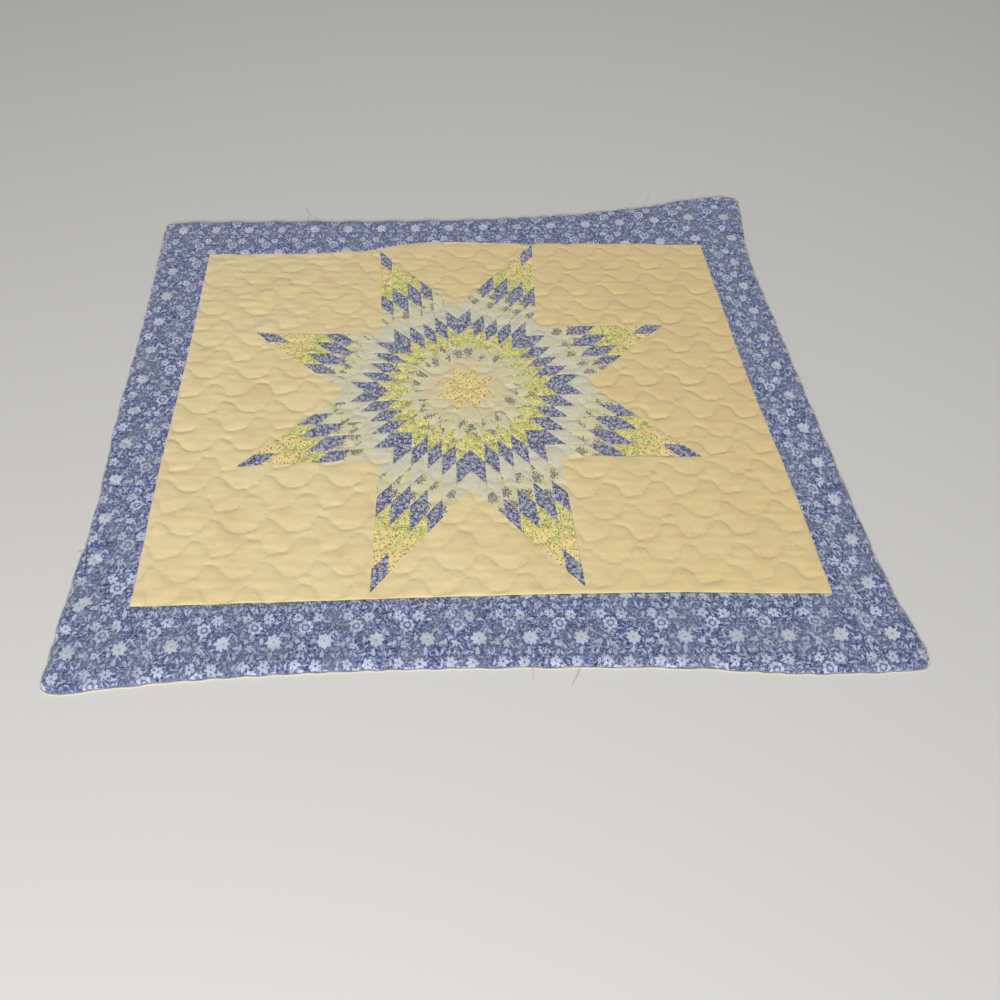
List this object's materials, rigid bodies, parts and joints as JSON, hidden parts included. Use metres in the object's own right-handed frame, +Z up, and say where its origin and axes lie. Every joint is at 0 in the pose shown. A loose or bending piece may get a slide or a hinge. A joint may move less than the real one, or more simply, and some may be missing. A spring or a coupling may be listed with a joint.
{
  "type": "lone star crib quilt, laid flat",
  "caption": "Flat rectangular pieced quilt with a lone star on a cream yellow ground, a floral blue border, wavy quilting and a thin pale rim.",
  "frame": {"origin": "middle of the underside of the whole quilt, on the surface that it lies on", "axes": "+Z up out of the quilt's face, +X along the longer side, +Y away from the near side"},
  "size_m": [1.0522, 0.9336, 0.0093],
  "materials": {
    "backing_cloth": "plain pale cream cotton, matt",
    "border_cloth": "blue violet cotton printed with pale flowers, matt",
    "field_cloth": "cream yellow cotton, quilted in wavy lines, matt",
    "star_cloth": "pieced printed cottons in yellows, blues and pale greens, matt"
  },
  "bodies": {
    "root": {"backing": "backing_cloth", "border_top": "border_cloth", "border_bottom": "border_cloth", "border_left": "border_cloth", "border_right": "border_cloth", "field_side_top": "field_cloth", "field_side_right": "field_cloth", "field_side_bottom": "field_cloth", "field_side_left": "field_cloth", "field_corner_top_left": "field_cloth", "field_corner_top_right": "field_cloth", "field_corner_bottom_left": "field_cloth", "field_corner_bottom_right": "field_cloth", "star_point_1": "star_cloth", "star_point_2": "star_cloth", "star_point_3": "star_cloth", "star_point_4": "star_cloth", "star_point_5": "star_cloth", "star_point_6": "star_cloth", "star_point_7": "star_cloth", "star_point_8": "star_cloth"}
  },
  "joints": []
}
